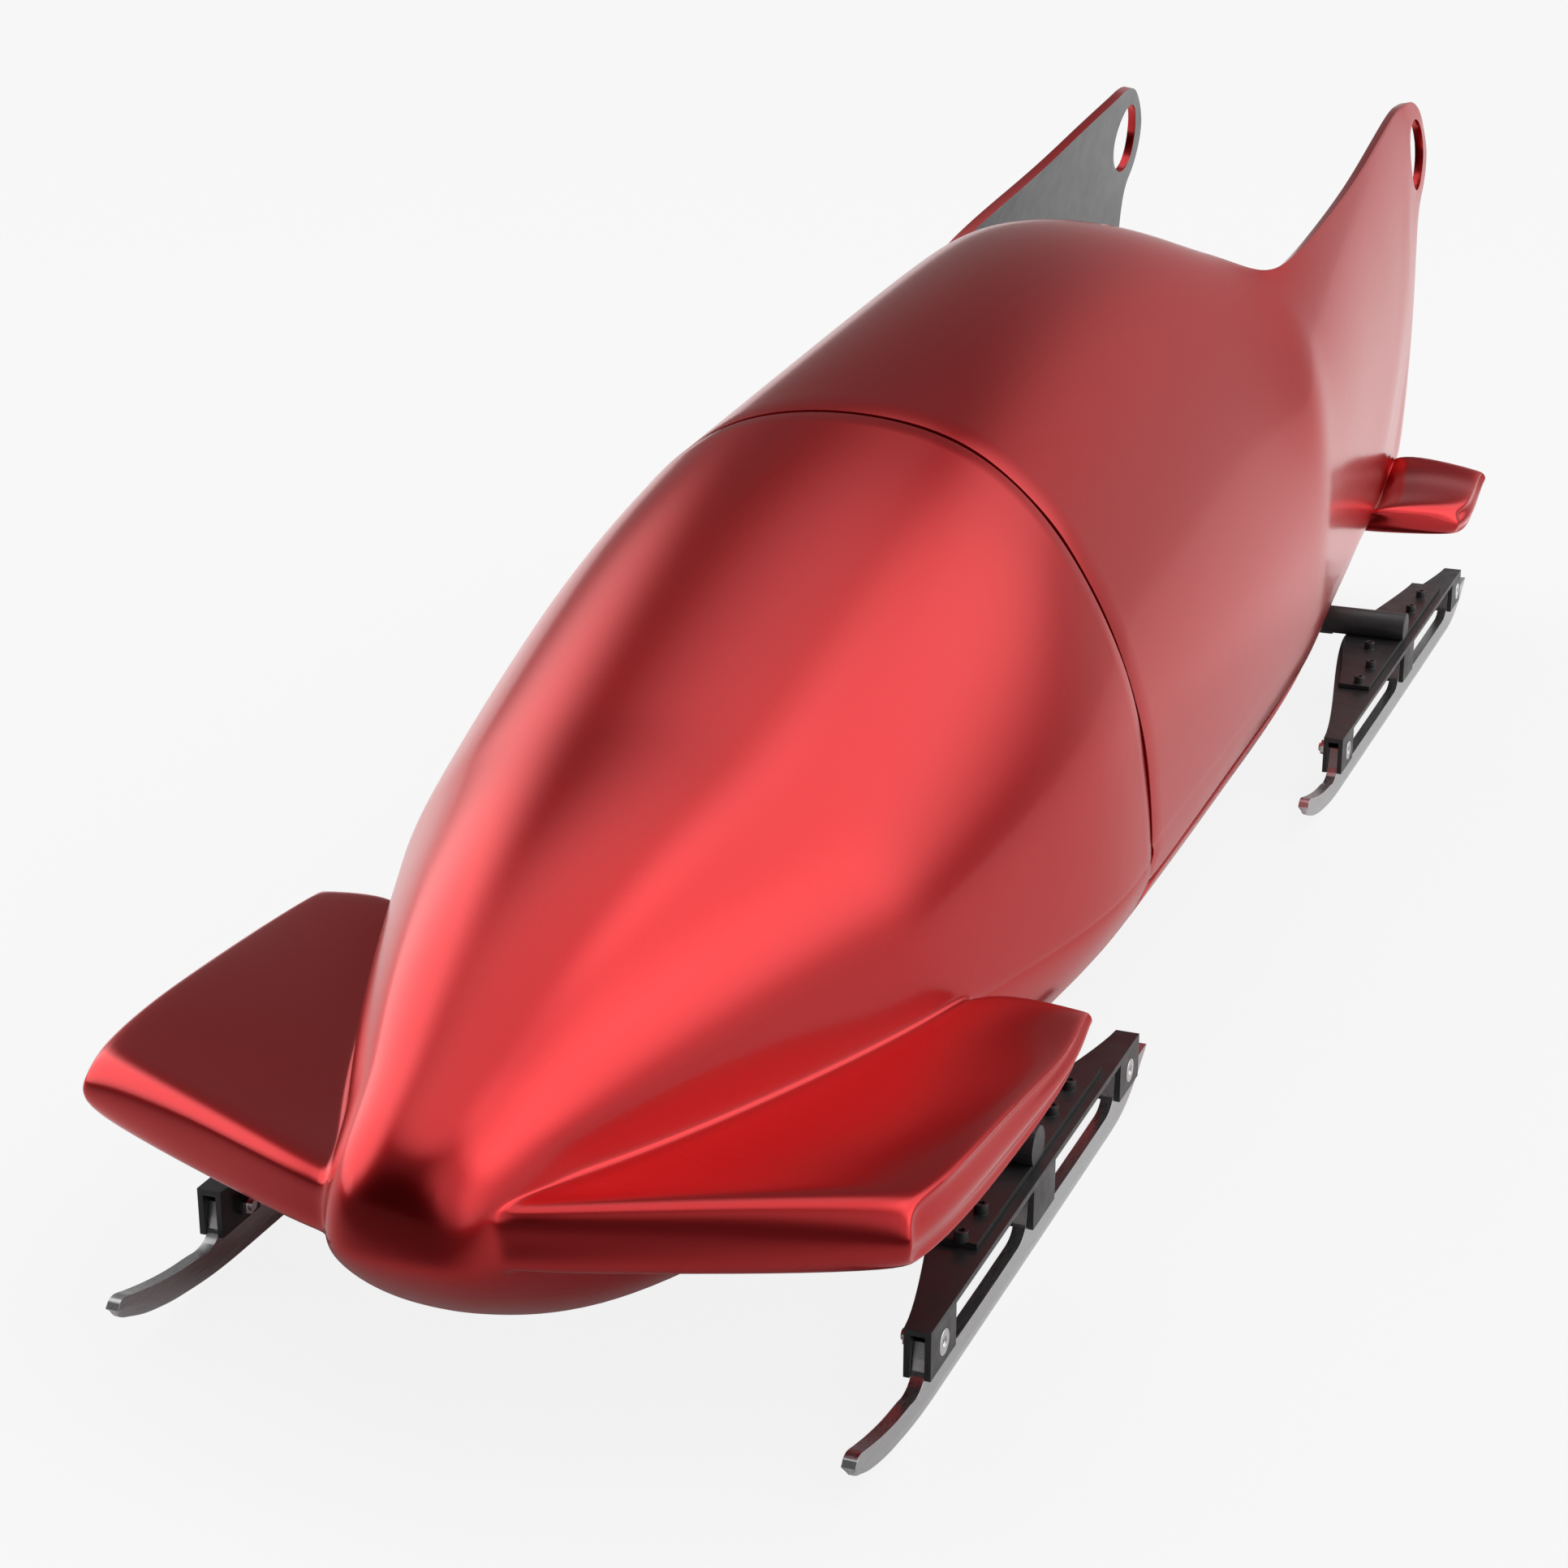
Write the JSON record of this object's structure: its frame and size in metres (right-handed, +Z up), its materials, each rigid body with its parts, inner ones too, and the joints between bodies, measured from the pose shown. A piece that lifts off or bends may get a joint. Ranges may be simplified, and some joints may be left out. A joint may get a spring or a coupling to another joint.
{
  "type": "bobsled",
  "caption": "Articulated bobsled with moulded nose and hull cowlings, wings, tail fins, open cockpit, steered front runners, rocking runner carriers and a claw brake.",
  "frame": {"origin": "centre of the sled's footprint on the ground, under the middle of its length", "axes": "+Z up, the nose points to -Y, +X to the sled's own left"},
  "size_m": [0.7898, 2.8163, 0.7416],
  "materials": {
    "red_paint": "metallic clear coat",
    "black_paint": "satin",
    "runner_steel": "ground",
    "bright_bolt": "polished",
    "frame_alloy": "satin",
    "bush_bronze": "machined",
    "grey_laminate": "matt laminate",
    "black_foam": "covered foam",
    "grip_rubber": "moulded"
  },
  "bodies": {
    "rear_section": {"hull_cowling": "red_paint", "belly_pan": "red_paint", "rear_frame": "frame_alloy", "rear_axle": "runner_steel", "articulation_bush": "bush_bronze", "footrest_bar": "frame_alloy", "seat_pan": "grey_laminate", "pilot_seat_pad": "black_foam", "brakeman_seat_pad": "black_foam", "brake_bearing_left": "frame_alloy", "brake_bearing_right": "frame_alloy"},
    "front_section": {"nose_cowling": "red_paint", "front_frame": "frame_alloy", "front_axle": "frame_alloy", "articulation_pin": "runner_steel", "kingpin_left": "runner_steel", "kingpin_right": "runner_steel", "steering_pin": "runner_steel"},
    "steering_lever": {"steering_lever": "frame_alloy"},
    "tie_rod": {"tie_rod": "runner_steel"},
    "pull_rod_left": {"pull_rod_left": "runner_steel", "d_ring_left": "grip_rubber"},
    "pull_rod_right": {"pull_rod_right": "runner_steel", "d_ring_right": "grip_rubber"},
    "knuckle_left": {"knuckle_left": "runner_steel"},
    "knuckle_right": {"knuckle_right": "runner_steel"},
    "brake": {"brake_lever": "runner_steel", "brake_grip_left": "grip_rubber", "brake_grip_right": "grip_rubber", "brake_claw": "runner_steel"},
    "front_left_runner_set": {"front_left_carrier": "black_paint", "front_left_saddle": "black_paint", "front_left_runner": "runner_steel", "front_left_front_bolt": "bright_bolt", "front_left_front_nut": "runner_steel", "front_left_rear_bolt": "bright_bolt", "front_left_rear_nut": "runner_steel"},
    "front_right_runner_set": {"front_right_carrier": "black_paint", "front_right_saddle": "black_paint", "front_right_runner": "runner_steel", "front_right_front_bolt": "bright_bolt", "front_right_front_nut": "runner_steel", "front_right_rear_bolt": "bright_bolt", "front_right_rear_nut": "runner_steel"},
    "rear_left_runner_set": {"rear_left_carrier": "black_paint", "rear_left_saddle": "black_paint", "rear_left_runner": "runner_steel", "rear_left_front_bolt": "bright_bolt", "rear_left_front_nut": "runner_steel", "rear_left_rear_bolt": "bright_bolt", "rear_left_rear_nut": "runner_steel"},
    "rear_right_runner_set": {"rear_right_carrier": "black_paint", "rear_right_saddle": "black_paint", "rear_right_runner": "runner_steel", "rear_right_front_bolt": "bright_bolt", "rear_right_front_nut": "runner_steel", "rear_right_rear_bolt": "bright_bolt", "rear_right_rear_nut": "runner_steel"}
  },
  "joints": [
    {"name": "roll", "type": "hinge", "parent": "rear_section", "child": "front_section", "pos_m": [0, -0.4125, 0.15], "axis": [0, 1, 0], "range_deg": [-5, 5]},
    {"name": "steer_left", "type": "hinge", "parent": "front_section", "child": "knuckle_left", "pos_m": [0.13, -0.8165, 0.1045], "axis": [0, 0, 1], "range_deg": [-6, 6]},
    {"name": "steer_right", "type": "hinge", "parent": "front_section", "child": "knuckle_right", "pos_m": [-0.13, -0.8165, 0.1045], "axis": [0, 0, 1], "range_deg": [-6, 6]},
    {"name": "lever_turn", "type": "hinge", "parent": "front_section", "child": "steering_lever", "pos_m": [0, -0.8165, 0.218], "axis": [0, 0, 1], "range_deg": [-6, 6]},
    {"name": "tie_rod_slide", "type": "slide", "parent": "front_section", "child": "tie_rod", "axis": [-1, 0, 0], "range_m": [-0.0125, 0.0125]},
    {"name": "pull_left", "type": "slide", "parent": "front_section", "child": "pull_rod_left", "axis": [0, 1, 0], "range_m": [-0.0065, 0.0065]},
    {"name": "pull_right", "type": "slide", "parent": "front_section", "child": "pull_rod_right", "axis": [0, -1, 0], "range_m": [-0.0065, 0.0065]},
    {"name": "front_left_pitch", "type": "hinge", "parent": "knuckle_left", "child": "front_left_runner_set", "pos_m": [0.335, -0.8165, 0.1045], "axis": [1, 0, 0], "range_deg": [-2.5, 2.5]},
    {"name": "front_right_pitch", "type": "hinge", "parent": "knuckle_right", "child": "front_right_runner_set", "pos_m": [-0.335, -0.8165, 0.1045], "axis": [1, 0, 0], "range_deg": [-2.5, 2.5]},
    {"name": "rear_left_pitch", "type": "hinge", "parent": "rear_section", "child": "rear_left_runner_set", "pos_m": [0.335, 0.8525, 0.1045], "axis": [1, 0, 0], "range_deg": [-2.5, 2.5]},
    {"name": "rear_right_pitch", "type": "hinge", "parent": "rear_section", "child": "rear_right_runner_set", "pos_m": [-0.335, 0.8525, 0.1045], "axis": [1, 0, 0], "range_deg": [-2.5, 2.5]},
    {"name": "brake_pull", "type": "hinge", "parent": "rear_section", "child": "brake", "pos_m": [0, 1.02, 0.178], "axis": [-1, 0, 0], "range_deg": [0, 30], "stiffness_Nm_per_rad": 30, "springref_deg": -11.46}
  ],
  "couplings": [
    {"joint": "steer_right", "follows": "steer_left", "ratio": 1},
    {"joint": "lever_turn", "follows": "steer_left", "ratio": 1},
    {"joint": "tie_rod_slide", "follows": "steer_left", "m_per_rad": 0.115},
    {"joint": "pull_left", "follows": "steer_left", "m_per_rad": 0.06},
    {"joint": "pull_right", "follows": "steer_left", "m_per_rad": 0.06}
  ]
}
